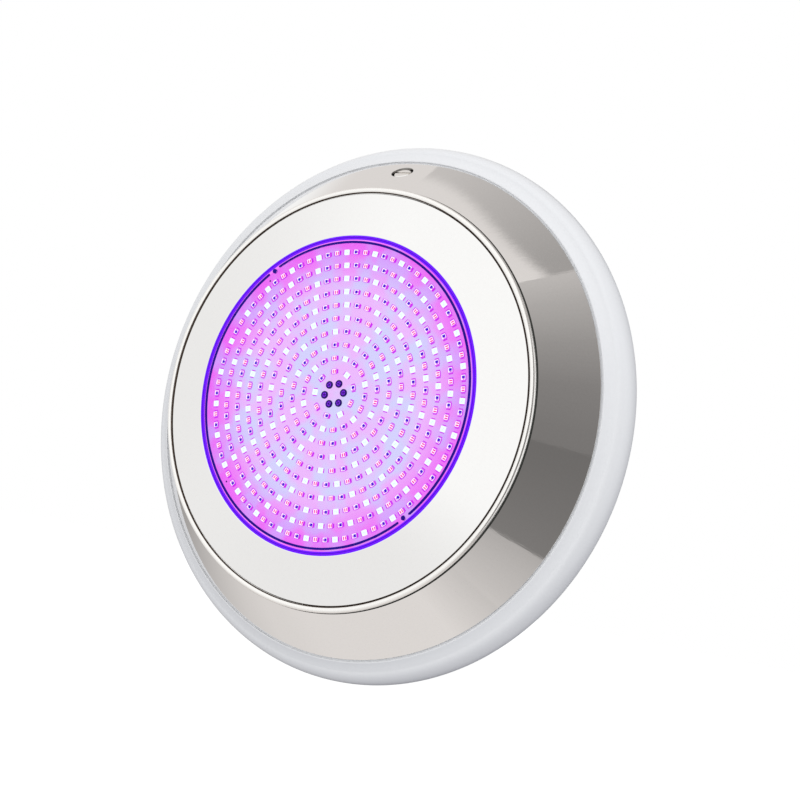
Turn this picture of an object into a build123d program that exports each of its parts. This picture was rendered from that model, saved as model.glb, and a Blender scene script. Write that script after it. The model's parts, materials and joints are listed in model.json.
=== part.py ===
from build123d import *
from math import cos, hypot, radians, sin
import os

# Underwater pool light, surface mounted: a resin-potted LED lamp in a polished steel skirt, on a white
# rear shell that turns onto a bayonet bracket on the pool wall. Millimetres.
# Every piece is drawn with the lamp's axis along +Z, its height measured from the wall, and 12 o'clock
# towards +Y. place() then turns the lamp upright: the front faces -Y and 12 o'clock is +Z.
# Angles are clockwise from 12 o'clock as seen from the front.

# Driving dimensions
OVERALL_D = 295.0
FRONT_H = 54.0
WINDOW_R = 84.0
FACE_EDGE_R = 109.0
FACE_EDGE_H = 46.8
SKIRT_TOP_R = 112.5
SKIRT_TOP_H = 44.5
SKIRT_FOOT_R = 135.1
SKIRT_FOOT_H = 18.1
SHEET = 1.0
BEAD_R = 1.6
CLEAR = 0.1
BASE = (Align.CENTER, Align.CENTER, Align.MIN)

# LED board: rings of 3.5 x 2.8 mm LEDs in the repeating order red, green, blue
LED_COUNTS = (9, 18, 24, 30, 36, 45, 54, 63, 72, 81)
LED_FIRST_RING_R = 11.9
LED_RING_PITCH = 7.1
LED_LONG, LED_WIDE, LED_TALL = 3.5, 2.8, 0.75
LED_START_ANGLE = 228.7
BOARD_R = 82.0
BOARD_LOW, BOARD_HIGH = 49.4, 51.0
TERMINAL_ANGLES = tuple(18.7 + 60 * k for k in range(6))
TERMINAL_PCR = 5.8
TERMINAL_R = 2.05

# Lamp cup and what closes it
CUP_WALL = 2.5
CUP_BORE_R = WINDOW_R + CLEAR
CUP_OUTER_R = CUP_BORE_R + CUP_WALL
CUP_FLOOR_H = 20.0
CUP_TOP_H = 52.1
CUP_FLANGE_R = 104.0
CUP_FLANGE_LOW, CUP_FLANGE_HIGH = 40.1, 42.6
SHOULDER_R = 79.0
SPREADER_LOW = 46.9
SEAL_THICK = 1.0
LENS_LOW = 52.0
SEAL_LINE_R, SEAL_LINE_WIDTH, SEAL_LINE_DEPTH = 80.6, 1.2, 0.5
SEAL_LINE_GAP = 2.8
FILL_HOLE_ANGLES = (135.3, 320.2)
FILL_HOLE_PCR, FILL_HOLE_R, FILL_HOLE_DEPTH = 80.2, 1.25, 1.0
STUD_ANGLES = (30, 90, 150, 210, 270, 330)
STUD_PCR = 97.0
STUD_R = 2.5
STUD_TIP_H = 33.5
STUD_HOLE_R = STUD_R + 0.25
WASHER_THICK = 0.8
NUT_THICK = 4.0

# Driver board
DRIVER_LENGTH, DRIVER_WIDTH, DRIVER_THICK = 120.0, 76.0, 1.6
DRIVER_LOW = 33.0
DRIVER_TOP = DRIVER_LOW + DRIVER_THICK
POST_X, POST_Y, POST_R = 52.0, 30.0, 3.5
RESIN_TOP = 28.0

# Cable gland at 6 o'clock in the cup wall, its axis along -Y
GLAND_H = 31.0
GLAND_THREAD_R = 6.0
GLAND_BORE_R = 3.8
GLAND_BOSS_R = 9.0
GLAND_BOSS_END = 88.5
GLAND_SEAL_END = 89.5
GLAND_HEX_END = 93.5
GLAND_SLEEVE_END = 101.0
GLAND_GROMMET_END = 104.0
GLAND_NUT_END = 107.0
LOCKNUT_FACE = CUP_BORE_R - 0.7
LOCKNUT_TALL = 3.5

# Rear shell and wall bracket
SHELL_LIP_R, SHELL_LIP_H = 136.6, 18.0
SHELL_LEDGE_R, SHELL_LEDGE_LOW, SHELL_LEDGE_HIGH = 131.5, 14.9, 17.3
SHELL_FLOOR_LOW, SHELL_FLOOR_HIGH = 3.3, 5.8
SHELL_OPENING_R = 65.0
DRAIN_PCR, DRAIN_R, DRAIN_COUNT = 118.0, 4.0, 12
BRACKET_R, BRACKET_THICK = 70.0, 3.0
HUB_BORE_R, HUB_R, HUB_TOP = 52.0, 57.0, 9.1
LUG_R, LUG_LOW = 63.0, 6.1
LUG_ANGLES = (0, 120, 240)
LUG_WIDTH = 40.0
HUB_FIT = 0.08
STOP_WIDTH = 3.0
STOP_GAP = 0.5
CABLE_HOLE_R = 12.0
WALL_SCREW_PCR, WALL_SCREW_R = 40.0, 2.75

# Lock screw: square to the skirt at 12 o'clock. Depths run inwards from the skirt's outer face.
SCREW_SURFACE_R = 127.0
RECESS_R, RECESS_DEPTH = 5.8, 3.2
SCREW_HEAD_R, SCREW_HEAD_TALL = 5.0, 2.8
SCREW_SHANK_R = 2.45
SCREW_FIT = 0.05
SCREW_TIP = 21.5
GROOVE_TOP, GROOVE_TALL, GROOVE_R = 12.6, 1.1, 2.0
INSERT_TOP, INSERT_END, INSERT_R = 14.0, 22.5, 3.6
SCREW_BOSS_R = 6.0

OUTER_R = OVERALL_D / 2
SKIRT_SLANT = hypot(SKIRT_FOOT_R - SKIRT_TOP_R, SKIRT_TOP_H - SKIRT_FOOT_H)
SKIRT_OUT = (SKIRT_FOOT_R - SKIRT_TOP_R) / SKIRT_SLANT
SKIRT_DOWN = (SKIRT_TOP_H - SKIRT_FOOT_H) / SKIRT_SLANT
FLANGE_HIGH = CUP_FLANGE_HIGH + SEAL_THICK + SHEET
FLANGE_LOW = FLANGE_HIGH - SHEET


def skirt_point(height, depth=0.0):
    """Radius and height on a cone inside the skirt's outer face by depth, at a height."""
    along = (SKIRT_TOP_H - depth * SKIRT_OUT - height) / SKIRT_DOWN
    return SKIRT_TOP_R - depth * SKIRT_DOWN + along * SKIRT_OUT, height


SCREW_SURFACE_H = SKIRT_TOP_H - (SCREW_SURFACE_R - SKIRT_TOP_R) * SKIRT_DOWN / SKIRT_OUT
SCREW_SEAT = Plane((0, SCREW_SURFACE_R, SCREW_SURFACE_H), (1, 0, 0), (0, SKIRT_DOWN, SKIRT_OUT)).location
GLAND_AXIS = Plane((0, 0, GLAND_H), (1, 0, 0), (0, -1, 0)).location


def group(shapes):
    """Separate solids kept in one node."""
    return Compound(children=[solid for shape in shapes for solid in shape.solids()])


def at(angle, radius, height=0.0):
    """A place on a circle about the axis, with its own +Y pointing outwards."""
    turn = radians(angle)
    return Pos(radius * sin(turn), radius * cos(turn), height) * Rot(0, 0, -angle)


def lathe(outline, sweep=360.0):
    """Turn a closed outline of radii and heights about the lamp's axis."""
    return revolve(Plane.XZ * make_face(outline), Axis.Z, sweep)


def lathe_points(*points):
    return lathe(Polyline(*points, close=True))


def ring(inner_r, outer_r, low, high):
    body = Pos(0, 0, low) * Cylinder(outer_r, high - low, align=BASE)
    if inner_r > 0:
        body -= Pos(0, 0, low) * Cylinder(inner_r, high - low, align=BASE)
    return body


def sector(outline, centre, width):
    """Part of a turned ring, centred on an angle and as wide as width in degrees."""
    return Rot(0, 0, 90 - centre - width / 2) * lathe(outline, width)


def ring_sector(inner_r, outer_r, low, high, centre, width):
    outline = Polyline((inner_r, low), (outer_r, low), (outer_r, high), (inner_r, high), close=True)
    return sector(outline, centre, width)


def along(axis, start, end, radius):
    """A round bar on an axis between two distances from its origin."""
    return axis * Pos(0, 0, start) * Cylinder(radius, end - start, align=BASE)


def hexagon(axis, start, end, across_flats):
    return axis * Pos(0, 0, start) * extrude(RegularPolygon(across_flats / 2, 6, major_radius=False),
                                             end - start)


# ---- wall side -------------------------------------------------------------------------------------

def wall_bracket():
    disc = ring(CABLE_HOLE_R, BRACKET_R, 0, BRACKET_THICK)
    outer_rim = disc.edges().group_by(Axis.Z)[-1].sort_by(SortBy.RADIUS)[-1]
    body = chamfer(outer_rim, 0.8)
    for k in range(4):
        body -= at(45 + 90 * k, WALL_SCREW_PCR) * Cylinder(WALL_SCREW_R, BRACKET_THICK, align=BASE)
    return body


def bayonet_ring():
    """Collar on the bracket: three lugs that the shell's tabs turn behind, each with an end stop."""
    body = ring(HUB_BORE_R, HUB_R, BRACKET_THICK, HUB_TOP)
    for angle in LUG_ANGLES:
        body += ring_sector(HUB_R - 1, LUG_R, LUG_LOW, HUB_TOP, angle, LUG_WIDTH)
        stop = angle + LUG_WIDTH / 2 + STOP_GAP + STOP_WIDTH / 2
        body += ring_sector(HUB_R - 1, LUG_R, BRACKET_THICK, HUB_TOP, stop, STOP_WIDTH)
    return body


def shell_outline():
    """White shell: rounded foot, bulged side, flatter flange up to the lip, ledge for the skirt, floor."""
    foot = ThreePointArc((OUTER_R - 1.6, 1.0), (OUTER_R - 0.4, 2.0), (OUTER_R, 3.8))
    side = ThreePointArc((OUTER_R, 3.8), (OUTER_R - 1.9, 9.9), (OUTER_R - 6.6, 14.7))
    wall_r = OUTER_R - 3.0
    rest = Polyline((OUTER_R - 6.6, 14.7), (SHELL_LIP_R, SHELL_LIP_H), (SHELL_LIP_R - 0.7, SHELL_LIP_H),
                    (SHELL_LIP_R - 0.7, SHELL_LEDGE_HIGH), (SHELL_LEDGE_R, SHELL_LEDGE_HIGH),
                    (SHELL_LEDGE_R, SHELL_LEDGE_LOW), (OUTER_R - 9.2, 12.9), (wall_r - 1.2, 8.5),
                    (wall_r - 0.6, SHELL_FLOOR_HIGH), (SHELL_OPENING_R, SHELL_FLOOR_HIGH),
                    (SHELL_OPENING_R, SHELL_FLOOR_LOW), (wall_r - 0.6, SHELL_FLOOR_LOW),
                    (wall_r, 1.0), (OUTER_R - 1.6, 1.0))
    return foot + side + rest


def rear_shell():
    body = lathe(shell_outline())
    for angle in LUG_ANGLES:
        body += ring_sector(HUB_R + HUB_FIT, SHELL_OPENING_R + 1, SHELL_FLOOR_LOW, SHELL_FLOOR_HIGH, angle,
                            LUG_WIDTH)
    boss = along(SCREW_SEAT, -40, -INSERT_TOP, SCREW_BOSS_R)
    boss &= ring(0, OUTER_R, SHELL_FLOOR_LOW + 1, FRONT_H)
    body += boss
    body -= along(SCREW_SEAT, -INSERT_END, -INSERT_TOP, INSERT_R)
    drain = ring(0, DRAIN_R, SHELL_FLOOR_LOW, SHELL_FLOOR_HIGH)
    for k in range(DRAIN_COUNT):
        body -= at(15 + 360 / DRAIN_COUNT * k, DRAIN_PCR) * drain
    return body


def shell_insert():
    body = along(SCREW_SEAT, -INSERT_END, -INSERT_TOP, INSERT_R)
    return body - along(SCREW_SEAT, -INSERT_END, -INSERT_TOP, SCREW_SHANK_R + SCREW_FIT)


# ---- polished steel --------------------------------------------------------------------------------

def trim_skirt():
    bead_low = SKIRT_TOP_H + 1.5
    bead_in = SKIRT_TOP_R - 2 * BEAD_R + 0.1
    bead_out = bead_in + 2 * BEAD_R
    bead = ThreePointArc((bead_in, bead_low), (bead_in + BEAD_R, bead_low + BEAD_R), (bead_out, bead_low))
    inner_foot = (SKIRT_FOOT_R - SHEET * SKIRT_DOWN, SKIRT_FOOT_H - SHEET * SKIRT_OUT)
    rest = Polyline((bead_out, bead_low), (SKIRT_TOP_R, SKIRT_TOP_H), (SKIRT_FOOT_R, SKIRT_FOOT_H), inner_foot,
                    skirt_point(FLANGE_LOW, SHEET), (STUD_PCR - 5, FLANGE_LOW), (STUD_PCR - 5, FLANGE_HIGH),
                    (bead_in, FLANGE_HIGH), (bead_in, bead_low))
    body = lathe(bead + rest)
    for angle in STUD_ANGLES:
        body -= at(angle, STUD_PCR, FLANGE_LOW) * Cylinder(STUD_HOLE_R, SHEET, align=BASE)
    body += along(SCREW_SEAT, -RECESS_DEPTH - SHEET, -SHEET / 2, RECESS_R + SHEET)
    body -= along(SCREW_SEAT, -RECESS_DEPTH, 5, RECESS_R)
    body -= along(SCREW_SEAT, -RECESS_DEPTH - SHEET, 0, SCREW_SHANK_R + 0.4)
    return body


def skirt_hooks():
    """Two steel hooks, welded inside the skirt's lower edge, that reach under the shell's ledge."""
    weld_gap = 0.08
    strip = 1.2
    hook_width = 6.0
    tip_r = SHELL_LEDGE_R + 2.5
    back_r = SHELL_LEDGE_R - 0.2
    foot_high = SHELL_LEDGE_LOW - 1.2
    top = skirt_point(29.0, SHEET + weld_gap)
    bend_h = top[1] - (back_r - top[0]) * SKIRT_DOWN / SKIRT_OUT
    outline = Polyline((tip_r, foot_high), (back_r, foot_high), (back_r, bend_h), top,
                       (top[0] - strip * SKIRT_DOWN, top[1] - strip * SKIRT_OUT),
                       (back_r - strip, bend_h - strip * 0.45), (back_r - strip, foot_high - strip),
                       (tip_r, foot_high - strip), close=True)
    return group([sector(outline, angle, hook_width) for angle in (150, 210)])


def face_plate():
    slope = (FRONT_H - FACE_EDGE_H) / (FACE_EDGE_R - WINDOW_R)
    under = SHEET * hypot(1, slope)
    outline = Polyline((WINDOW_R + 0.3, FRONT_H), (WINDOW_R, FRONT_H - 0.3), (WINDOW_R, FRONT_H - under),
                       (FACE_EDGE_R - SHEET, FACE_EDGE_H + slope * SHEET - under),
                       (FACE_EDGE_R - SHEET, FLANGE_HIGH), (FACE_EDGE_R, FLANGE_HIGH),
                       (FACE_EDGE_R, FACE_EDGE_H), close=True)
    body = lathe(outline)
    stud_top = FRONT_H - (STUD_PCR - WINDOW_R) * slope - SHEET * 0.8
    for angle in STUD_ANGLES:
        body += at(angle, STUD_PCR, STUD_TIP_H) * Cylinder(STUD_R, stud_top - STUD_TIP_H, align=BASE)
    return body


def stud_washers():
    flat = ring(STUD_R + 0.1, STUD_R * 2, CUP_FLANGE_LOW - WASHER_THICK, CUP_FLANGE_LOW)
    return group([at(angle, STUD_PCR) * flat for angle in STUD_ANGLES])


def stud_nuts():
    nut_high = CUP_FLANGE_LOW - WASHER_THICK
    nut = hexagon(Pos(0, 0, 0), nut_high - NUT_THICK, nut_high, 8.0)
    nut -= ring(0, STUD_R + 0.05, nut_high - NUT_THICK, nut_high)
    return group([at(angle, STUD_PCR) * nut for angle in STUD_ANGLES])


# ---- lamp cup --------------------------------------------------------------------------------------

def lamp_cup():
    body = lathe_points((0, CUP_FLOOR_H), (CUP_OUTER_R, CUP_FLOOR_H), (CUP_OUTER_R, CUP_FLANGE_LOW),
                        (CUP_FLANGE_R, CUP_FLANGE_LOW), (CUP_FLANGE_R, CUP_FLANGE_HIGH),
                        (CUP_OUTER_R, CUP_FLANGE_HIGH), (CUP_OUTER_R, CUP_TOP_H), (CUP_BORE_R, CUP_TOP_H),
                        (CUP_BORE_R, SPREADER_LOW), (SHOULDER_R, SPREADER_LOW),
                        (SHOULDER_R, SPREADER_LOW - 1.5), (CUP_BORE_R, SPREADER_LOW - 4.5),
                        (CUP_BORE_R, CUP_FLOOR_H + CUP_WALL), (0, CUP_FLOOR_H + CUP_WALL))
    for angle in STUD_ANGLES:
        flange_hole = Cylinder(STUD_HOLE_R, CUP_FLANGE_HIGH - CUP_FLANGE_LOW, align=BASE)
        body -= at(angle, STUD_PCR, CUP_FLANGE_LOW) * flange_hole
    body += along(GLAND_AXIS, CUP_BORE_R + 0.5, GLAND_BOSS_END, GLAND_BOSS_R)
    body -= along(GLAND_AXIS, CUP_BORE_R - 6, GLAND_BOSS_END, GLAND_THREAD_R + CLEAR)
    for x, y in post_places():
        body += Pos(x, y, CUP_FLOOR_H + 1) * Cylinder(POST_R, DRIVER_LOW - CUP_FLOOR_H - 1, align=BASE)
        body -= Pos(x, y, DRIVER_LOW - 7) * Cylinder(1.5, 7, align=BASE)
    return body


def post_places():
    return [(x, y) for x in (-POST_X, POST_X) for y in (-POST_Y, POST_Y)]


def face_seal():
    body = ring(CUP_OUTER_R + 1.4, CUP_FLANGE_R, CUP_FLANGE_HIGH, FLANGE_LOW)
    for angle in STUD_ANGLES:
        body -= at(angle, STUD_PCR, CUP_FLANGE_HIGH) * Cylinder(STUD_HOLE_R, SEAL_THICK, align=BASE)
    return body


def resin_fill():
    body = ring(0, CUP_BORE_R - 0.05, CUP_FLOOR_H + CUP_WALL, RESIN_TOP)
    for x, y in post_places():
        body -= Pos(x, y, CUP_FLOOR_H) * Cylinder(POST_R + 0.05, 20, align=BASE)
    body -= along(GLAND_AXIS, CUP_BORE_R - 8, CUP_BORE_R + 5, 9.5)
    return body


def arc_bar(start, end):
    """A bar along a circle in the lens's front face, with round ends."""
    half, low = SEAL_LINE_WIDTH / 2, FRONT_H - SEAL_LINE_DEPTH
    body = ring_sector(SEAL_LINE_R - half, SEAL_LINE_R + half, low, FRONT_H, (start + end) / 2, end - start)
    for angle in (start, end):
        body += at(angle, SEAL_LINE_R, low) * Cylinder(half, SEAL_LINE_DEPTH, align=BASE)
    return body


def lens_sealant():
    """Dark sealant in the lens: two arcs in a groove near its edge, and the plugs of its two fill holes."""
    first, second = FILL_HOLE_ANGLES
    arcs = [arc_bar(first + SEAL_LINE_GAP, second - SEAL_LINE_GAP),
            arc_bar(second + SEAL_LINE_GAP, first + 360 - SEAL_LINE_GAP)]
    plug = Cylinder(FILL_HOLE_R, FILL_HOLE_DEPTH, align=BASE)
    plugs = [at(angle, FILL_HOLE_PCR, FRONT_H - FILL_HOLE_DEPTH) * plug for angle in FILL_HOLE_ANGLES]
    return group(arcs + plugs)


def lens():
    disc = ring(0, WINDOW_R - 2.0, LENS_LOW, FRONT_H)
    body = chamfer(disc.edges().group_by(Axis.Z)[-1], 0.25)
    for solid in lens_sealant().solids():
        body -= solid
    return body


def lens_gasket():
    low = SPREADER_LOW + 0.1
    inner, outer = WINDOW_R - 1.9, WINDOW_R - 0.05
    middle = (inner + outer) / 2
    return lathe_points((inner, low), (outer, low), (outer, FRONT_H - 0.15), (outer - 0.15, FRONT_H),
                        (middle + 0.3, FRONT_H), (middle, FRONT_H - 0.4), (middle - 0.3, FRONT_H),
                        (inner, FRONT_H))


# ---- LED board -------------------------------------------------------------------------------------

def led_board():
    body = ring(0, BOARD_R, BOARD_LOW, BOARD_HIGH)
    for angle in TERMINAL_ANGLES:
        body -= at(angle, TERMINAL_PCR, BOARD_LOW) * Cylinder(0.8, 5, align=BASE)
    return body


def leds(colour):
    """All LEDs of one colour: 0 red, 1 green, 2 blue."""
    chip = Box(LED_LONG, LED_WIDE, LED_TALL, align=BASE)
    places = [at(LED_START_ANGLE + 360 * k / count, LED_FIRST_RING_R + LED_RING_PITCH * n, BOARD_HIGH)
              for n, count in enumerate(LED_COUNTS) for k in range(colour, count, 3)]
    return group([place * chip for place in places])


def board_terminals():
    """Six crosshead terminal screws at the middle of the board."""
    head = Pos(0, 0, BOARD_HIGH) * Cylinder(TERMINAL_R, 0.9, align=BASE)
    head = fillet(head.edges().group_by(Axis.Z)[-1], 0.3)
    head += Pos(0, 0, BOARD_LOW) * Cylinder(0.75, 2.0, align=BASE)
    for turn in (0, 90):
        head -= Pos(0, 0, BOARD_HIGH + 0.5) * Rot(0, 0, turn) * Box(2.4, 0.5, 1, align=BASE)
    return group([at(angle, TERMINAL_PCR) * head for angle in TERMINAL_ANGLES])


def feed_pins():
    pin = ring(0, 0.6, DRIVER_TOP, BOARD_LOW)
    return group([at(angle, TERMINAL_PCR) * pin for angle in TERMINAL_ANGLES])


def heat_spreader():
    return ring(9.0, BOARD_R - 0.2, SPREADER_LOW, BOARD_LOW)


# ---- driver ----------------------------------------------------------------------------------------

def on_driver(x, y, shape):
    return Pos(x, y, DRIVER_TOP) * shape


def driver_board():
    body = Pos(0, 0, DRIVER_LOW) * Box(DRIVER_LENGTH, DRIVER_WIDTH, DRIVER_THICK, align=BASE)
    for x, y in post_places():
        body -= Pos(x, y, DRIVER_LOW) * Cylinder(1.7, DRIVER_THICK, align=BASE)
    return body


def driver_screws():
    screw = Pos(0, 0, DRIVER_LOW - 6) * Cylinder(1.4, 6 + DRIVER_THICK, align=BASE)
    screw += Pos(0, 0, DRIVER_TOP) * Cylinder(2.8, 1.8, align=BASE)
    screw -= Pos(0, 0, DRIVER_TOP + 0.9) * Box(4, 0.7, 1, align=BASE)
    return group([Pos(x, y) * screw for x, y in post_places()])


def filter_capacitors():
    can = fillet(Cylinder(5.0, 10.0, align=BASE).edges().group_by(Axis.Z)[-1], 0.8)
    return group([on_driver(x, -20, can) for x in (-42, -29)])


def bridge_rectifier():
    return on_driver(-38, 22, chamfer(Box(15, 3.5, 9.5, align=BASE).edges().group_by(Axis.Z)[-1], 0.6))


def choke_coil():
    return on_driver(-14, 20, fillet(ring(3.6, 8.4, 0, 6.5).edges(), 1.2))


def switching_transistors():
    case = chamfer(Box(9.5, 4.4, 9.0, align=BASE).edges().group_by(Axis.Z)[-1], 0.4)
    return group([on_driver(x, 24, case) for x in (16, 29, 42)])


def controller_chip():
    body = chamfer(Box(7.0, 10.0, 1.6, align=BASE).edges().group_by(Axis.Z)[-1], 0.3)
    for side in (-1, 1):
        for k in range(8):
            body += Pos(side * 4.0, -4.2 + 1.2 * k, 0) * Box(1.4, 0.5, 0.4, align=BASE)
    return on_driver(34, -6, body)


def terminal_block():
    body = Box(20, 8, 9, align=BASE)
    for x in (-5, 5):
        body -= Pos(x, 0, 5) * Cylinder(2.2, 4, align=BASE)
        body -= Pos(x, -2, 0.8) * Box(5, 4, 3.6, align=BASE)
    return on_driver(0, -31, body)


def supply_fuse():
    return on_driver(30, -24, Pos(0, 0, 2.8) * Rot(0, 90, 0) * Cylinder(2.6, 20))


# ---- cable gland -----------------------------------------------------------------------------------

def gland_body():
    body = along(GLAND_AXIS, CUP_BORE_R - 6, GLAND_SLEEVE_END, GLAND_THREAD_R)
    body += hexagon(GLAND_AXIS, GLAND_SEAL_END, GLAND_HEX_END, 16.0)
    return body - along(GLAND_AXIS, CUP_BORE_R - 6, GLAND_SLEEVE_END, GLAND_BORE_R)


def gland_seal():
    body = along(GLAND_AXIS, GLAND_BOSS_END, GLAND_SEAL_END, 8.0)
    return body - along(GLAND_AXIS, GLAND_BOSS_END, GLAND_SEAL_END, GLAND_THREAD_R + 0.05)


def gland_locknut():
    start = LOCKNUT_FACE - LOCKNUT_TALL
    body = hexagon(GLAND_AXIS, start, LOCKNUT_FACE, 15.0)
    return body - along(GLAND_AXIS, start, LOCKNUT_FACE, GLAND_THREAD_R + 0.05)


def gland_grommet():
    body = along(GLAND_AXIS, GLAND_SLEEVE_END, GLAND_GROMMET_END, GLAND_THREAD_R)
    return body - along(GLAND_AXIS, GLAND_SLEEVE_END, GLAND_GROMMET_END, GLAND_BORE_R)


def gland_nut():
    body = hexagon(GLAND_AXIS, GLAND_HEX_END + 0.3, GLAND_GROMMET_END, 15.0)
    body += along(GLAND_AXIS, GLAND_GROMMET_END, GLAND_NUT_END, 7.0)
    body -= along(GLAND_AXIS, GLAND_HEX_END, GLAND_GROMMET_END, GLAND_THREAD_R + 0.05)
    return body - along(GLAND_AXIS, GLAND_HEX_END, GLAND_NUT_END, GLAND_BORE_R)


# ---- lock screw ------------------------------------------------------------------------------------

def lock_screw():
    """Slotted pan-head screw, its shank grooved for the retaining washer."""
    head = along(SCREW_SEAT, -RECESS_DEPTH, -RECESS_DEPTH + SCREW_HEAD_TALL, SCREW_HEAD_R)
    crown = head.edges().filter_by(GeomType.CIRCLE).sort_by(lambda edge: edge.center().Z)[-1]
    head = fillet(crown, 1.2)
    body = head + along(SCREW_SEAT, -SCREW_TIP, -RECESS_DEPTH, SCREW_SHANK_R)
    groove = along(SCREW_SEAT, -GROOVE_TOP - GROOVE_TALL, -GROOVE_TOP, SCREW_SHANK_R + 1)
    groove -= along(SCREW_SEAT, -GROOVE_TOP - GROOVE_TALL, -GROOVE_TOP, GROOVE_R)
    body -= groove
    slot = SCREW_SEAT * Pos(0, 0, -RECESS_DEPTH + SCREW_HEAD_TALL - 1.2)
    return body - slot * Box(12, 1.3, 3, align=BASE)


def lock_washer():
    low = -GROOVE_TOP - GROOVE_TALL + 0.1
    high = -GROOVE_TOP - 0.1
    return along(SCREW_SEAT, low, high, 5.2) - along(SCREW_SEAT, low, high, GROOVE_R + SCREW_FIT)


PIECES = {
    "wall_bracket": wall_bracket, "bayonet_ring": bayonet_ring, "rear_shell": rear_shell,
    "shell_insert": shell_insert,
    "trim_skirt": trim_skirt, "skirt_hooks": skirt_hooks, "face_plate": face_plate,
    "stud_washers": stud_washers, "stud_nuts": stud_nuts, "lamp_cup": lamp_cup, "face_seal": face_seal,
    "resin_fill": resin_fill, "lens": lens, "lens_sealant": lens_sealant, "lens_gasket": lens_gasket,
    "led_board": led_board,
    "leds_red": lambda: leds(0), "leds_green": lambda: leds(1), "leds_blue": lambda: leds(2),
    "board_terminals": board_terminals, "feed_pins": feed_pins, "heat_spreader": heat_spreader,
    "driver_board": driver_board, "driver_screws": driver_screws, "filter_capacitors": filter_capacitors,
    "bridge_rectifier": bridge_rectifier, "choke_coil": choke_coil,
    "switching_transistors": switching_transistors, "controller_chip": controller_chip,
    "terminal_block": terminal_block, "supply_fuse": supply_fuse, "gland_body": gland_body,
    "gland_seal": gland_seal, "gland_locknut": gland_locknut, "gland_grommet": gland_grommet,
    "gland_nut": gland_nut, "lock_screw": lock_screw, "lock_washer": lock_washer,
}


def place(shape):
    """Stand the lamp upright on its wall: front to -Y, 12 o'clock to +Z."""
    return Rot(90, 0, 0) * shape


os.makedirs("parts", exist_ok=True)
for name, make in PIECES.items():
    export_step(place(make()), f"parts/{name}.step")
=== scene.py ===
"""Underwater pool light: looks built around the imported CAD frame.

Lengths in this file are millimetres unless they end in _M, and angles are degrees. Angles round the light
run clockwise from the lock screw at 12 o'clock, as seen from the front. Heights are measured from the wall.
"""
import json
from math import cos, degrees, hypot, pi, radians, sin, tan

import bmesh
import bpy
from mathutils import Matrix, Vector


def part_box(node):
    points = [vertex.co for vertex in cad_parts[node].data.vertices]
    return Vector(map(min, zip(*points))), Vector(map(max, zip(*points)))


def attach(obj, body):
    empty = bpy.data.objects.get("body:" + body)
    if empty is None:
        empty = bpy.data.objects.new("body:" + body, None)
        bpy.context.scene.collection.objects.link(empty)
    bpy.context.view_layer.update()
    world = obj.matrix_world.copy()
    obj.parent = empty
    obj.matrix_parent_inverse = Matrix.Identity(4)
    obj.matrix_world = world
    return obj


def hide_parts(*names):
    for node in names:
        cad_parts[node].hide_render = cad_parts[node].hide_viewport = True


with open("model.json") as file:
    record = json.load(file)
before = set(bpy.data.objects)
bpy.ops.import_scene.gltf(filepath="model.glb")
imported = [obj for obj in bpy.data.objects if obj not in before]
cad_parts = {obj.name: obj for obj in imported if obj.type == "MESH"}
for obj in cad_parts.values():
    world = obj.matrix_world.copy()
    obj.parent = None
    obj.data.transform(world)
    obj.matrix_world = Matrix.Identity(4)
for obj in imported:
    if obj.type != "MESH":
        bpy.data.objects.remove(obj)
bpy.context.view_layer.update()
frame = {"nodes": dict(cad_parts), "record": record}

MM = 0.001


def reach(node):
    """Outer radius of a CAD node that is round about the axis."""
    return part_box(node)[1].x / MM


def heights(node):
    """Lowest and highest height of a CAD node above the wall."""
    low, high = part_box(node)
    return -high.y / MM, -low.y / MM


# ---- sizes, from the frame where it has them ---------------------------------------------------------
OUTER_R = reach("rear_shell")
SKIRT_FOOT_R = reach("trim_skirt")
WINDOW_R = reach("lens_gasket")
WINDOW_BORE_R = WINDOW_R + 0.05
FACE_EDGE_R = reach("face_plate")
FRONT_H = heights("face_plate")[1]
FACE_EDGE_H = 46.8
FLANGE_LOW, FLANGE_HIGH = 43.6, 44.6
FLANGE_BORE_R = 92.0
SKIRT_TOP_R, SKIRT_TOP_H, SKIRT_FOOT_H = 112.5, 44.5, 18.1
SHEET = 1.0
BEAD_R = 1.6
SEAM_START, SEAM_END, SEAM_DEPTH = 0.2, 0.6, 0.3
SLANT = hypot(SKIRT_FOOT_R - SKIRT_TOP_R, SKIRT_TOP_H - SKIRT_FOOT_H)
OUTWARD = (SKIRT_FOOT_R - SKIRT_TOP_R) / SLANT
DOWNWARD = (SKIRT_TOP_H - SKIRT_FOOT_H) / SLANT

SCREW_SLANT = 14.5 / OUTWARD
RECESS_R, RECESS_DEPTH, RECESS_LIP = 5.8, 3.2, 0.35
SHANK_HOLE_R = 2.85

SHELL_LIP_R, SHELL_LIP_H = 136.6, 18.0
SHELL_LEDGE_R, SHELL_LEDGE_LOW, SHELL_LEDGE_HIGH = 131.5, 14.9, 17.3
SHELL_FLOOR_LOW, SHELL_FLOOR_HIGH = heights("rear_shell")[0] + 2.3, heights("rear_shell")[0] + 4.8
SHELL_OPENING_R, TAB_R = 65.0, 57.08
TAB_ANGLES, TAB_HALF = (0, 120, 240), 20
DRAIN_PCR, DRAIN_R = 118.0, 4.0

LED_COUNTS = (9, 18, 24, 30, 36, 45, 54, 63, 72, 81)
LED_FIRST_R, LED_PITCH, LED_START = 11.9, 7.1, 228.7
BOARD_HIGH = heights("led_board")[1]
BOARD_R = reach("led_board")
TERMINAL_R, TERMINAL_PCR, TERMINAL_START = 2.05, 5.8, 18.7

COLUMNS = 360
SUPPORT = 0.12


# ---- mesh helpers --------------------------------------------------------------------------------------

def polar(angle, radius, height):
    """A point in the row frame, in metres."""
    turn = radians(angle)
    return Vector((radius * sin(turn), -height, radius * cos(turn))) * MM


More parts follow.
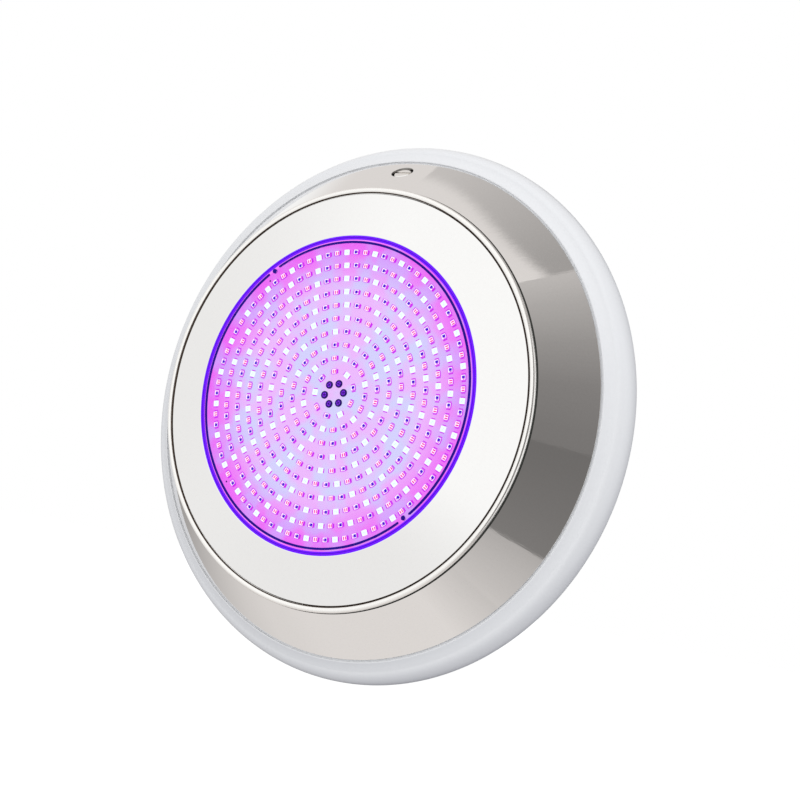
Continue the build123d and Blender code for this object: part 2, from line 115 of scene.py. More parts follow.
def rounded(corners, steps=4):
    """Outline through (radius, height, fillet) corners: an arc at each fillet, between two support points."""
    points = []
    for k, (r, h, fillet) in enumerate(corners):
        here = Vector((r, h))
        if fillet == 0:
            points.append(here)
            continue
        before = (Vector(corners[k - 1][:2]) - here).normalized()
        after = (Vector(corners[(k + 1) % len(corners)][:2]) - here).normalized()
        half = before.angle(after) / 2
        start = here + before * fillet / tan(half)
        end = here + after * fillet / tan(half)
        centre = here + (before + after).normalized() * fillet / sin(half)
        points.append(start + before * SUPPORT)
        for step in range(steps + 1):
            points.append(centre + (start.lerp(end, step / steps) - centre).normalized() * fillet)
        points.append(end + after * SUPPORT)
    return [(p.x, p.y) for p in points]


def arc(centre, radius, start, end, steps):
    """Points on an arc in the radius and height plane, from one angle to another."""
    turns = [radians(start + (end - start) * k / steps) for k in range(steps + 1)]
    return [(centre[0] + radius * cos(t), centre[1] + radius * sin(t)) for t in turns]


def skin(bm, rows, closed=True, material=0):
    """Faces between rows of vertices."""
    for low, high in zip(rows, rows[1:]):
        count = len(low)
        for k in range(count if closed else count - 1):
            n = (k + 1) % count
            corners = list(dict.fromkeys((low[k], low[n], high[n], high[k])))
            if len(corners) > 2:
                bm.faces.new(corners).material_index = material


def turned(bm, profile, material=0, outline=True, columns=range(COLUMNS)):
    """Turn a profile about the light's axis. outline joins its last point to its first."""
    rows = [[bm.verts.new(polar(angle, r, h)) for angle in columns] for r, h in profile]
    if outline:
        rows.append(rows[0])
    skin(bm, rows, closed=len(columns) == COLUMNS, material=material)
    return rows


def tube(bm, place, loops, sides=24, material=0):
    """A round piece from (radius, height) loops in a place's own frame, closed at both ends."""
    rows = []
    for r, h in loops:
        turns = [2 * pi * k / sides for k in range(sides)]
        rows.append([bm.verts.new(place @ (Vector((r * cos(t), r * sin(t), h)) * MM)) for t in turns])
    skin(bm, rows, material=material)
    bm.faces.new(rows[0]).material_index = material
    bm.faces.new(rows[-1]).material_index = material


def holed_sheet(bm, point, width_at, levels, holes):
    """A turned sheet on point(angle, level), with a round hole inside each patch of its grid.

    holes lists (centre angle, half width in columns, first row, last row, centre level, hole radius), and
    the rim of each hole comes back as (vertices, directions)."""
    grid = [[bm.verts.new(point(angle, level)) for angle in range(COLUMNS)] for level in levels]
    cut = {(row, (centre + k) % COLUMNS)
           for centre, half, first, last, _, _ in holes
           for row in range(first, last) for k in range(-half, half)}
    for row in range(len(levels) - 1):
        for k in range(COLUMNS):
            if (row, k) not in cut:
                n = (k + 1) % COLUMNS
                bm.faces.new((grid[row][k], grid[row][n], grid[row + 1][n], grid[row + 1][k]))
    rims = []
    for centre, half, first, last, middle, radius in holes:
        edge = ([(k, first) for k in range(-half, half)]
                + [(half, row) for row in range(first, last)]
                + [(k, last) for k in range(half, -half, -1)]
                + [(-half, row) for row in range(last, first, -1)])
        flat = [Vector((radians(k) * width_at(levels[row]), levels[row] - middle)) for k, row in edge]
        directions = [p.normalized() for p in flat]
        rows = [[grid[row][(centre + k) % COLUMNS] for k, row in edge]]
        for share in (0.7, 0.4, 0.18, 0.05, 0.0):
            ring = []
            for p, way in zip(flat, directions):
                q = way * radius + (p - way * radius) * share
                level = middle + q.y
                ring.append(bm.verts.new(point(centre + degrees(q.x / width_at(level)), level)))
            rows.append(ring)
        skin(bm, rows)
        rims.append((rows[-1], directions))
    return rims


def spread(start, end, steps):
    return [start + (end - start) * k / steps for k in range(steps + 1)]


def piece(name, bm, body, materials, replaced=(), sharp=35.0, weld=2e-6):
    """Finish a mesh: weld, smooth, name its body and material slot, and stand it in for CAD nodes."""
    bmesh.ops.remove_doubles(bm, verts=bm.verts, dist=weld)
    bmesh.ops.recalc_face_normals(bm, faces=bm.faces)
    mesh = bpy.data.meshes.new(name)
    bm.to_mesh(mesh)
    bm.free()
    mesh.shade_smooth()
    mesh.set_sharp_from_angle(angle=radians(sharp))
    for material in materials:
        mesh.materials.append(material)
    made = bpy.data.objects.new(name, mesh)
    bpy.context.scene.collection.objects.link(made)
    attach(made, body)
    if replaced:
        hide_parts(*replaced)
    return made


# ---- materials -----------------------------------------------------------------------------------------

def finish(name, colour, roughness, metallic=0.0, shade=0.05, grain=300.0, bump=0.0, wander=0.05,
           glow=None, glow_strength=1.0, stretch=(1, 1, 1), **sockets):
    """A procedural finish: its colour and roughness wander with noise, over a fine bump."""
    material = bpy.data.materials.new(name)
    material.use_nodes = True
    nodes, link = material.node_tree.nodes, material.node_tree.links.new
    shader = nodes["Principled BSDF"]
    shader.inputs["Metallic"].default_value = metallic
    for socket, value in sockets.items():
        shader.inputs[socket.replace("_", " ")].default_value = value
    place = nodes.new("ShaderNodeTexCoord")
    scale = nodes.new("ShaderNodeMapping")
    scale.inputs["Scale"].default_value = stretch
    link(place.outputs["Object"], scale.inputs["Vector"])
    noise = nodes.new("ShaderNodeTexNoise")
    noise.inputs["Scale"].default_value = grain
    noise.inputs["Detail"].default_value = 5.0
    link(scale.outputs["Vector"], noise.inputs["Vector"])
    tint = nodes.new("ShaderNodeValToRGB")
    tint.color_ramp.elements[0].position = 0.3
    tint.color_ramp.elements[1].position = 0.7
    tint.color_ramp.elements[0].color = (*[c * (1 - shade) for c in colour], 1)
    tint.color_ramp.elements[1].color = (*[min(1.0, c * (1 + shade)) for c in colour], 1)
    link(noise.outputs["Fac"], tint.inputs["Fac"])
    link(tint.outputs["Color"], shader.inputs["Base Color"])
    rough = nodes.new("ShaderNodeMapRange")
    rough.inputs["To Min"].default_value = max(0.0, roughness - wander / 2)
    rough.inputs["To Max"].default_value = roughness + wander / 2
    link(noise.outputs["Fac"], rough.inputs["Value"])
    link(rough.outputs["Result"], shader.inputs["Roughness"])
    if bump:
        relief = nodes.new("ShaderNodeBump")
        relief.inputs["Strength"].default_value = bump
        relief.inputs["Distance"].default_value = 0.05 * MM
        link(noise.outputs["Fac"], relief.inputs["Height"])
        link(relief.outputs["Normal"], shader.inputs["Normal"])
    if glow:
        shader.inputs["Emission Color"].default_value = (*glow, 1)
        shader.inputs["Emission Strength"].default_value = glow_strength
    return material


def board_finish():
    """White solder mask in the LEDs' mixed light: lavender and pink clouds, turning magenta at the rim."""
    material = finish("lit_board", (0.06, 0.04, 0.07), 0.45, grain=900.0, bump=0.1, Specular_IOR_Level=0.1)
    nodes, link = material.node_tree.nodes, material.node_tree.links.new
    place = nodes.new("ShaderNodeTexCoord")
    clouds = nodes.new("ShaderNodeTexNoise")
    clouds.inputs["Scale"].default_value = 62.0
    clouds.inputs["Detail"].default_value = 2.5
    link(place.outputs["Object"], clouds.inputs["Vector"])

    def cloudy(*stops):
        ramp = nodes.new("ShaderNodeValToRGB")
        link(clouds.outputs["Fac"], ramp.inputs["Fac"])
        for element, (position, colour) in zip(ramp.color_ramp.elements, stops):
            element.position = position
            element.color = (*colour, 1)
        return ramp.outputs["Color"]

    inner = cloudy((0.40, (0.66, 0.66, 1.0)), (0.60, (0.86, 0.49, 1.0)))
    outer = cloudy((0.38, (0.68, 0.32, 1.0)), (0.56, (0.88, 0.14, 0.95)))
    middle = nodes.new("ShaderNodeVectorMath")
    middle.operation = "MULTIPLY"
    middle.inputs[1].default_value = (1, 0, 1)
    link(place.outputs["Object"], middle.inputs[0])
    radius = nodes.new("ShaderNodeVectorMath")
    radius.operation = "LENGTH"
    link(middle.outputs["Vector"], radius.inputs[0])
    edge = nodes.new("ShaderNodeMapRange")
    edge.interpolation_type = "SMOOTHSTEP"
    edge.inputs["From Min"].default_value = 0.62 * BOARD_R * MM
    edge.inputs["From Max"].default_value = 0.98 * BOARD_R * MM
    link(radius.outputs["Value"], edge.inputs["Value"])
    blend = nodes.new("ShaderNodeMix")
    blend.data_type = "RGBA"
    link(edge.outputs["Result"], blend.inputs["Factor"])
    link(inner, blend.inputs["A"])
    link(outer, blend.inputs["B"])
    shader = nodes["Principled BSDF"]
    link(blend.outputs["Result"], shader.inputs["Emission Color"])
    shader.inputs["Emission Strength"].default_value = 0.93
    return material


def streaked_steel():
    """Mirror-polished steel with faint streaks left by the buffing wheel."""
    material = finish("streaked_steel", **{**FINISHES["polished_steel"], "bump": 0.0})
    nodes, link = material.node_tree.nodes, material.node_tree.links.new
    place = nodes.new("ShaderNodeTexCoord")
    split = nodes.new("ShaderNodeSeparateXYZ")
    link(place.outputs["Object"], split.inputs["Vector"])
    turn = nodes.new("ShaderNodeMath")
    turn.operation = "ARCTAN2"
    link(split.outputs["X"], turn.inputs[0])
    link(split.outputs["Z"], turn.inputs[1])
    flat = nodes.new("ShaderNodeCombineXYZ")
    link(turn.outputs["Value"], flat.inputs["X"])
    link(split.outputs["Y"], flat.inputs["Y"])
    stretch = nodes.new("ShaderNodeMapping")
    stretch.inputs["Scale"].default_value = (60.0, 90.0, 1.0)
    link(flat.outputs["Vector"], stretch.inputs["Vector"])
    streaks = nodes.new("ShaderNodeTexNoise")
    streaks.inputs["Scale"].default_value = 1.0
    streaks.inputs["Detail"].default_value = 4.0
    link(stretch.outputs["Vector"], streaks.inputs["Vector"])
    relief = nodes.new("ShaderNodeBump")
    relief.inputs["Strength"].default_value = 0.25
    relief.inputs["Distance"].default_value = 0.05 * MM
    link(streaks.outputs["Fac"], relief.inputs["Height"])
    link(relief.outputs["Normal"], nodes["Principled BSDF"].inputs["Normal"])
    return material


FINISHES = {
    "polished_steel": dict(colour=(0.93, 0.925, 0.92), roughness=0.035, metallic=1.0, shade=0.012,
                           grain=900.0, wander=0.03, bump=0.02),
    # Near-black finish for the groove at the foot of the bead: painted shade, not a colour of the steel.
    "painted_seam_shade": dict(colour=(0.06, 0.062, 0.056), roughness=0.6, shade=0.2, grain=400.0, Specular_IOR_Level=0.1),
    "gap_shade": dict(colour=(0.085, 0.060, 0.045), roughness=0.6, shade=0.2, grain=400.0,
                      Specular_IOR_Level=0.1),
    "bead_steel": dict(colour=(0.96, 0.945, 0.925), roughness=0.22, metallic=1.0, shade=0.012, grain=900.0),
    # Dark steel for the lock screw's recess: painted shade in the hollow, darker than the skirt's own steel.
    "recess_painted_shade_steel": dict(colour=(0.26, 0.25, 0.24), roughness=0.15, metallic=1.0, grain=500.0, bump=0.1),
    "plain_steel": dict(colour=(0.62, 0.62, 0.63), roughness=0.28, metallic=1.0, grain=800.0, bump=0.1),
    "bright_screw": dict(colour=(0.95, 0.94, 0.92), roughness=0.12, metallic=1.0, grain=700.0, bump=0.08),
    "white_abs": dict(colour=(0.86, 0.87, 0.89), roughness=0.30, shade=0.008, grain=600.0, bump=0.05),
    "bracket_plastic": dict(colour=(0.72, 0.73, 0.75), roughness=0.55, shade=0.03, grain=1500.0, bump=0.35),
    "brass": dict(colour=(0.80, 0.58, 0.24), roughness=0.25, metallic=1.0, bump=0.1),
    "gland_brass": dict(colour=(0.70, 0.68, 0.62), roughness=0.22, metallic=1.0, bump=0.1),
    "cup_plastic": dict(colour=(0.80, 0.81, 0.83), roughness=0.45, shade=0.02, grain=900.0, bump=0.2),
    "black_rubber": dict(colour=(0.025, 0.025, 0.028), roughness=0.7, shade=0.2, grain=1200.0, bump=0.3),
    "potting_resin": dict(colour=(0.74, 0.73, 0.68), roughness=0.18, shade=0.04, grain=90.0),
    # Near-black terminal finish, also used for the board's dots, with a faint painted violet glow of LED
    # light.
    "dark_terminal": dict(colour=(0.006, 0.001, 0.03), roughness=0.5, shade=0.3, grain=2500.0,
                          glow=(0.008, 0.0, 0.10), Specular_IOR_Level=0.1),
    "tinned_copper": dict(colour=(0.75, 0.71, 0.66), roughness=0.3, metallic=1.0),
    # Heat spreader: dark navy colour with a faint violet glow, painted LED light seen through the board's
    # holes and slots.
    "aluminium": dict(colour=(0.02, 0.01, 0.09), roughness=0.5, metallic=0.3, bump=0.1, grain=900.0,
                      glow=(0.006, 0.0, 0.16)),
    "green_laminate": dict(colour=(0.02, 0.16, 0.06), roughness=0.35, shade=0.15, grain=700.0, bump=0.15),
    "capacitor_sleeve": dict(colour=(0.02, 0.03, 0.07), roughness=0.3, grain=500.0),
    "black_epoxy": dict(colour=(0.02, 0.02, 0.022), roughness=0.55, grain=1500.0, bump=0.25),
    "copper_winding": dict(colour=(0.62, 0.24, 0.10), roughness=0.3, metallic=1.0, grain=1800.0, bump=0.5,
                           stretch=(1, 0.1, 1)),
    "green_plastic": dict(colour=(0.02, 0.25, 0.07), roughness=0.4, grain=900.0, bump=0.1),
    "fuse_ceramic": dict(colour=(0.80, 0.77, 0.70), roughness=0.25, grain=600.0),
    "nylon": dict(colour=(0.85, 0.84, 0.80), roughness=0.4, grain=900.0, bump=0.1),
    "clear_lens": dict(colour=(0.5, 0.4, 0.9), roughness=0.04, shade=0.01, wander=0.02, Alpha=0.008,
                       Specular_IOR_Level=0.3),
    # A faint violet glow on the lens seal: painted LED light, the seal being no lamp.
    "lens_seal": dict(colour=(0.01, 0.0, 0.05), roughness=0.4, shade=0.1, grain=500.0,
                      glow=(0.002, 0.0, 0.20), Specular_IOR_Level=0.1),
    # Rim finishes that glow though the rim is no lamp: painted violet and pink LED light, dimmer in the
    # groove.
    "lens_rim": dict(colour=(0.04, 0.005, 0.22), roughness=0.3, shade=0.15, grain=350.0,
                     glow=(0.145, 0.002, 0.90), Specular_IOR_Level=0.1),
    "rim_groove_painted_dim_glow": dict(colour=(0.02, 0.005, 0.15), roughness=0.3, grain=350.0, glow=(0.035, 0.001, 0.42),
                       Specular_IOR_Level=0.1),
    "rim_wall_painted_glow": dict(colour=(0.08, 0.04, 0.08), roughness=0.4, grain=350.0, glow=(0.15, 0.004, 0.90),
                     Specular_IOR_Level=0.1),
    "inner_band_painted_pink_glow": dict(colour=(0.08, 0.03, 0.08), roughness=0.4, grain=350.0, glow=(0.88, 0.22, 0.90),
                      Specular_IOR_Level=0.1),
    "led_case": dict(colour=(0.10, 0.08, 0.10), roughness=0.4, grain=2500.0, glow=(1.0, 0.90, 1.0),
                     Specular_IOR_Level=0.1),
    "led_case_white": dict(colour=(0.1, 0.1, 0.1), roughness=0.4, grain=2500.0, glow=(0.84, 1.0, 0.97),
                           Specular_IOR_Level=0.1),
    # Solder ends and, on red and violet LEDs, the case's outside glow magenta: painted LED light on parts
    # that are no lamp.
    "pad_painted_magenta_glow": dict(colour=(0.05, 0.0, 0.06), roughness=0.4, grain=2500.0, glow=(0.60, 0.02, 0.85),
                        Specular_IOR_Level=0.1),
    "chip_red": dict(colour=(0.05, 0.0, 0.02), roughness=0.4, grain=2500.0, glow=(1.0, 0.0, 0.45),
                     Specular_IOR_Level=0.1),
    "chip_cyan": dict(colour=(0.1, 0.1, 0.1), roughness=0.4, grain=2500.0, glow=(0.40, 0.80, 1.0),
                      Specular_IOR_Level=0.1),
    "chip_violet": dict(colour=(0.01, 0.0, 0.05), roughness=0.4, grain=2500.0, glow=(0.06, 0.0, 0.62),
                        Specular_IOR_Level=0.1),
    "chip_magenta": dict(colour=(0.05, 0.0, 0.06), roughness=0.4, grain=2500.0, glow=(0.66, 0.01, 0.80),
                         Specular_IOR_Level=0.1),
    # Painted violet glow of LED light in the terminals' cross recess.
    "terminal_cross_painted_glow": dict(colour=(0.02, 0.01, 0.05), roughness=0.35, grain=2500.0, glow=(0.20, 0.012, 0.78),
                           Specular_IOR_Level=0.1),
}
finishes = {name: finish(name, **look) for name, look in FINISHES.items()}
finishes["led_board"] = board_finish()
finishes["streaked_steel"] = streaked_steel()


def dress_cad_nodes():
    """Every CAD node gets the finish of its slot in the record."""
    stand_in = {"led_lit_pink": "led_case", "led_lit_white": "led_case_white", "led_lit_violet": "led_case"}
    for part in frame["record"]["subparts"]:
        slot = part["material_slot"]
        node = frame["nodes"][part["node"]]
        node.data.materials.clear()
        node.data.materials.append(finishes[stand_in.get(slot, slot)])


# ---- polished steel ------------------------------------------------------------------------------------

def skirt_outline_point(slant, depth):
    """Radius and height of a point this far down the cone and this deep under its face."""
    radius = SKIRT_TOP_R + slant * OUTWARD - depth * DOWNWARD
    return radius, SKIRT_TOP_H - slant * DOWNWARD - depth * OUTWARD


def skirt_place(angle, slant, depth=0.0):
    return polar(angle, *skirt_outline_point(slant, depth))


def screw_place():
    """The lock screw's frame: its origin on the skirt, its Z axis outwards."""
    across = Vector((1, 0, 0))
    out = Vector((0, -OUTWARD, DOWNWARD))
    turn = Matrix((across, out.cross(across), out)).transposed().to_4x4()
    return Matrix.Translation(skirt_place(0, SCREW_SLANT)) @ turn


def trim_skirt():
    """Pressed skirt: cone with a round recess for the lock screw, its dish painted dark as shade, a seam
    groove below the bead painted near-black as shade, rolled bead and inner flange.
    """
    bm = bmesh.new()
    top, foot = SEAM_END, SLANT - 0.3
    first, last = SCREW_SLANT - 11.0, SCREW_SLANT + 10.0
    levels = [top, top + 0.1, top + 1] + spread(first, last, 10) + [foot - 1, foot - 0.1, foot]

    def width(level):
        return SKIRT_TOP_R + level * OUTWARD

    patch = (0, 5, 3, 13, SCREW_SLANT)
    outer = holed_sheet(bm, skirt_place, width, levels, [(*patch, RECESS_R + RECESS_LIP)])
    inner = holed_sheet(bm, lambda angle, slant: skirt_place(angle, slant, SHEET), width, levels,
                        [(*patch, RECESS_R + SHEET)])
    place = screw_place()

    def loop(directions, radius, depth):
        return [bm.verts.new(place @ (Vector((way.x * radius, way.y * radius, -depth)) * MM))
                for way in directions]

    rim, ways = outer[0]
    lip = [(RECESS_R + RECESS_LIP * (1 - sin(t)), 0.12 + RECESS_LIP * (1 - cos(t)))
           for t in (pi / 6, pi / 3, pi / 2)]
    dish = lip + [(RECESS_R, RECESS_DEPTH - 0.4), (RECESS_R - 0.12, RECESS_DEPTH - 0.12),
                  (RECESS_R - 0.4, RECESS_DEPTH), (SHANK_HOLE_R + 0.2, RECESS_DEPTH),
                  (SHANK_HOLE_R, RECESS_DEPTH + 0.2), (SHANK_HOLE_R, RECESS_DEPTH + SHEET),
                  (RECESS_R + SHEET - 0.5, RECESS_DEPTH + SHEET),
                  (RECESS_R + SHEET, RECESS_DEPTH + SHEET - 0.5)]
    # The recess dish takes the darkened steel: painted shade round the screw.
    skin(bm, [rim] + [loop(ways, radius, depth) for radius, depth in dish] + [inner[0][0]], material=3)
    bead_low = SKIRT_TOP_H + 1.5
    bead_mid = SKIRT_TOP_R + 0.1 - BEAD_R
    roll = arc((bead_mid, bead_low), BEAD_R, -25, 180, 18)
    crown = 14
    # The groove below the bead takes the near-black finish: painted shade in the groove.
    painted_seam_shade = [skirt_outline_point(top, 0), skirt_outline_point(top, SEAM_DEPTH),
            skirt_outline_point(SEAM_START, SEAM_DEPTH), roll[0]]
    turned(bm, painted_seam_shade, material=1, outline=False)
    flange = rounded([(bead_mid - BEAD_R, FLANGE_HIGH, 0.15), (FLANGE_BORE_R, FLANGE_HIGH, 0.2),
                      (FLANGE_BORE_R, FLANGE_LOW, 0.2)], steps=2)
    inner_top = skirt_outline_point(top, SHEET)
    turned(bm, roll[:crown + 1], material=4, outline=False)
    turned(bm, roll[crown:], material=2, outline=False)
    turned(bm, roll[-1:] + flange + [(inner_top[0] - 0.4, FLANGE_LOW), inner_top], outline=False)
    hem = ((0, 0), (0.2, 0.1), (0.3, 0.3), (0.3, 0.7), (0.2, 0.9), (0, SHEET))
    turned(bm, [skirt_outline_point(foot + past, depth) for past, depth in hem], outline=False)
    looks = ("streaked_steel", "painted_seam_shade", "gap_shade", "recess_painted_shade_steel", "bead_steel")
    piece("polished_skirt", bm, "light", [finishes[look] for look in looks], ["trim_skirt"])


def face_plate():
    """Shallow cone round the window: rolled inner lip, turned-down outer edge, six welded studs behind."""
    bm = bmesh.new()
    slope = (FRONT_H - FACE_EDGE_H) / (FACE_EDGE_R - WINDOW_BORE_R)
    under = SHEET * hypot(1, slope)
    corners = [(WINDOW_BORE_R, FRONT_H, 0.45), (WINDOW_BORE_R, FRONT_H - under, 0.1),
               (FACE_EDGE_R - SHEET, FACE_EDGE_H + slope * SHEET - under, 0.2),
               (FACE_EDGE_R - SHEET, FLANGE_HIGH, 0.1), (FACE_EDGE_R, FLANGE_HIGH, 0.1),
               (FACE_EDGE_R, FACE_EDGE_H, 0.5)]
    turned(bm, rounded(corners, steps=6))
    for face in bm.faces:
        centre = face.calc_center_median() / MM
        if hypot(centre.x, centre.z) > FACE_EDGE_R - 0.15:
            face.material_index = 1
    stud_low = heights("face_plate")[0]
    for angle in range(30, 390, 60):
        foot = polar(angle, 97.0, stud_low)
        place = Matrix.Translation(foot) @ Matrix.Rotation(radians(90), 4, "X")
        tube(bm, place, [(2.1, 0), (2.5, 0.4), (2.5, FRONT_H - 4.6 - stud_low)])
    piece("polished_face", bm, "light", [finishes["polished_steel"], finishes["gap_shade"]],
          ["face_plate"])


# ---- white shell ---------------------------------------------------------------------------------------

def rear_shell():
    """White moulding: bulged side with a soft crease, lip round the skirt, pierced floor, three tabs."""
    bm = bmesh.new()
    wall_r = OUTER_R - 3.0
    floor_edge = wall_r - 0.6
    crease = (OUTER_R - 6.6, 14.7)
    waist, bulge_in, bulge_tall, foot_in, foot_tall = 3.8, 6.555, 10.8782, 1.6, 2.8
    side = [(OUTER_R - bulge_in * (1 - cos(t)), waist + bulge_tall * sin(t))
            for t in map(radians, spread(0, 90, 18))]
    foot = [(OUTER_R - foot_in * (1 - sin(t)), waist - foot_tall * cos(t))
            for t in map(radians, spread(0, 90, 8))]
    lip = rounded([(*crease, 0), (SHELL_LIP_R, SHELL_LIP_H, 0.35), (SHELL_LIP_R - 0.7, SHELL_LIP_H, 0.2),
                   (SHELL_LIP_R - 0.7, SHELL_LEDGE_HIGH, 0), (SHELL_LEDGE_R, SHELL_LEDGE_HIGH, 0.3),
                   (SHELL_LEDGE_R, SHELL_LEDGE_LOW, 0.3), (OUTER_R - 9.2, 12.9, 1.0),
                   (wall_r - 1.2, 8.5, 1.5), (floor_edge, SHELL_FLOOR_HIGH, 0)])[1:]
    turned(bm, foot[:-1] + side + lip, outline=False)
    turned(bm, [(floor_edge, SHELL_FLOOR_LOW), (wall_r - 0.1, 2.4), (wall_r, 1.0), foot[0]], outline=False)
    first, last = DRAIN_PCR - 9.0, DRAIN_PCR + 9.0
    levels = [SHELL_OPENING_R, SHELL_OPENING_R + 0.3, 80, 95] + spread(first, last, 8) + [135, floor_edge]
    holes = [(angle, 4, 4, 12, DRAIN_PCR, DRAIN_R) for angle in range(15, 375, 30)]
    rims = [holed_sheet(bm, lambda a, r, h=h: polar(a, r, h), lambda r: r, levels, holes)
            for h in (SHELL_FLOOR_LOW, SHELL_FLOOR_HIGH)]
    for (low, _), (high, _) in zip(*rims):
        skin(bm, [low, high])
    turned(bm, [(SHELL_OPENING_R, SHELL_FLOOR_LOW), (SHELL_OPENING_R, SHELL_FLOOR_HIGH)], outline=False)
    for centre in TAB_ANGLES:
        columns = [centre + k for k in range(-TAB_HALF, TAB_HALF + 1)]
        section = [(TAB_R, SHELL_FLOOR_LOW), (TAB_R, SHELL_FLOOR_HIGH),
                   (SHELL_OPENING_R, SHELL_FLOOR_HIGH), (SHELL_OPENING_R, SHELL_FLOOR_LOW)]
        rows = turned(bm, section, columns=columns)
        for end in (0, -1):
            bm.faces.new([row[end] for row in rows[:-1]])
    boss = [(2.5, -22.5), (6.0, -29.3), (6.0, -14.3), (5.7, -14.0), (3.6, -14.0), (3.6, -22.0)]
    tube(bm, screw_place(), boss)
    piece("moulded_shell", bm, "light", [finishes["white_abs"]], ["rear_shell"], weld=1e-5)


# ---- window --------------------------------------------------------------------------------------------

def window_rim():
    """Rim round the lens, glowing with painted LED light though it is no lamp: two soft ribs in painted
    violet, a groove between them with a dimmer painted glow, and a band low inside in painted pink.
    """
    bm = bmesh.new()
    low = heights("lens_gasket")[0]
    inner, outer = WINDOW_R - 1.9, WINDOW_R
    middle = (inner + outer) / 2
    pink_glow_top, groove_low = FRONT_H - 0.9, FRONT_H - 0.4
    corners = [(inner, pink_glow_top, 0), (inner, low, 0), (outer, low, 0), (outer, FRONT_H - 0.05, 0.3),
               (middle + 0.16, FRONT_H, 0.12), (middle + 0.1, groove_low, 0), (middle - 0.1, groove_low, 0),
               (middle - 0.16, FRONT_H, 0.12), (inner, FRONT_H - 0.05, 0.2)]
    turned(bm, rounded(corners, steps=3))
    # Painted LED light: violet on the ribs, dimmer in the groove, and pink low on the inner wall.
    for face in bm.faces:
        centre = face.calc_center_median() / MM
        radius = hypot(centre.x, centre.z)
        if abs(radius - middle) < 0.17:
            face.material_index = 1
        elif radius < inner + 0.02:
            face.material_index = 3 if -centre.y < pink_glow_top else 2
    looks = ("lens_rim", "rim_groove_painted_dim_glow", "rim_wall_painted_glow", "inner_band_painted_pink_glow")
    piece("window_rim", bm, "light", [finishes[look] for look in looks], ["lens_gasket"])


def on_board(angle, radius, height=0.0):
    """A place on the board: X tangential, Y outwards along the radius, Z out of the board."""
    turn = Matrix.Rotation(radians(-angle), 3, "Z")
    upright = Matrix.Rotation(radians(90), 3, "X")
    return Matrix.Translation(polar(angle, radius, BOARD_HIGH + height)) @ (upright @ turn).to_4x4()


def rounded_rectangle(length, width, corner, height, steps=2):
    """Points of a rectangle with round corners, at a height."""
    points = []
    for sx, sy, start in ((1, 1, 0), (-1, 1, 90), (-1, -1, 180), (1, -1, 270)):
        for k in range(steps + 1):
            turn = radians(start + 90 * k / steps)
            points.append(Vector((sx * (length / 2 - corner) + corner * cos(turn),
                                  sy * (width / 2 - corner) + corner * sin(turn), height)))
    return points


def stacked(bm, place, loops, materials):
    """Join loops of points one to the next and close both ends, with a material for each step and the cap."""
    rows = [[bm.verts.new(place @ (p * MM)) for p in loop] for loop in loops]
    for pair, material in zip(zip(rows, rows[1:]), materials):
        skin(bm, pair, material=material)
    bm.faces.new(rows[0]).material_index = materials[0]
    bm.faces.new(rows[-1]).material_index = materials[-1]


def led(bm, place, edge, chips):
    """One packaged LED: a case whose outside has material edge, a reflector cup, solder ends, and chips as
    (x, y, length, width, material)."""
    height = 0.75
    case = [rounded_rectangle(3.0, 2.8, 0.35, 0.0), rounded_rectangle(3.0, 2.8, 0.35, height - 0.15),
            rounded_rectangle(2.6, 2.4, 0.3, height), rounded_rectangle(2.4, 2.2, 0.5, height),
            rounded_rectangle(2.2, 2.0, 0.45, height - 0.25)]
    stacked(bm, place, case, [edge, edge, 0, 0, 0])
    # The solder ends take the painted magenta glow of LED light.
    for side in (-1, 1):
        ends = Matrix.Translation((side * 1.9 * MM, 0, 0))
        pad = [rounded_rectangle(0.5, 2.3, 0.1, 0.0), rounded_rectangle(0.46, 2.2, 0.1, 0.3)]
        stacked(bm, place @ ends, pad, [1, 1])
    for x, y, length, width, material in chips:
        spot = Matrix.Translation(Vector((x, y, height - 0.25)) * MM)
        chip = [rounded_rectangle(length, width, 0.15, 0.0),
                rounded_rectangle(length * 0.8, width * 0.85, 0.12, 0.1)]
        stacked(bm, place @ spot, chip, [material, material])


# Each kind: name, CAD node, slot, case finish, chip finishes, material of the case's outside, and the chips.
# A case outside of 1 is the painted magenta glow of LED light, and 0 is the case finish.
LED_KINDS = (
    ("red_leds", "leds_red", "led_lit_pink", "led_case", ("chip_red",), 1,
     ((-0.6, 0, 0.65, 1.7, 2), (0.6, 0, 0.65, 1.7, 2))),
    ("white_leds", "leds_green", "led_lit_white", "led_case_white", ("chip_cyan",), 0,
     ((-0.45, 0.2, 0.4, 0.5, 2), (0.4, -0.2, 0.4, 0.5, 2))),
    ("violet_leds", "leds_blue", "led_lit_violet", "led_case", ("chip_violet", "chip_magenta"), 1,
     ((-0.25, 0.0, 1.4, 1.6, 2), (0.8, 0.1, 0.5, 1.2, 3))),
)


def led_rings():
    """Ten rings of LEDs, every third one of a kind."""
    for kind, (name, node, slot, case, chip_looks, edge, chips) in enumerate(LED_KINDS):
        bm = bmesh.new()
        for ring, count in enumerate(LED_COUNTS):
            for k in range(kind, count, 3):
                led(bm, on_board(LED_START + 360 * k / count, LED_FIRST_R + LED_PITCH * ring), edge, chips)
        looks = [finishes[look] for look in (case, "pad_painted_magenta_glow", *chip_looks)]
        piece(name, bm, "light", looks, [node])


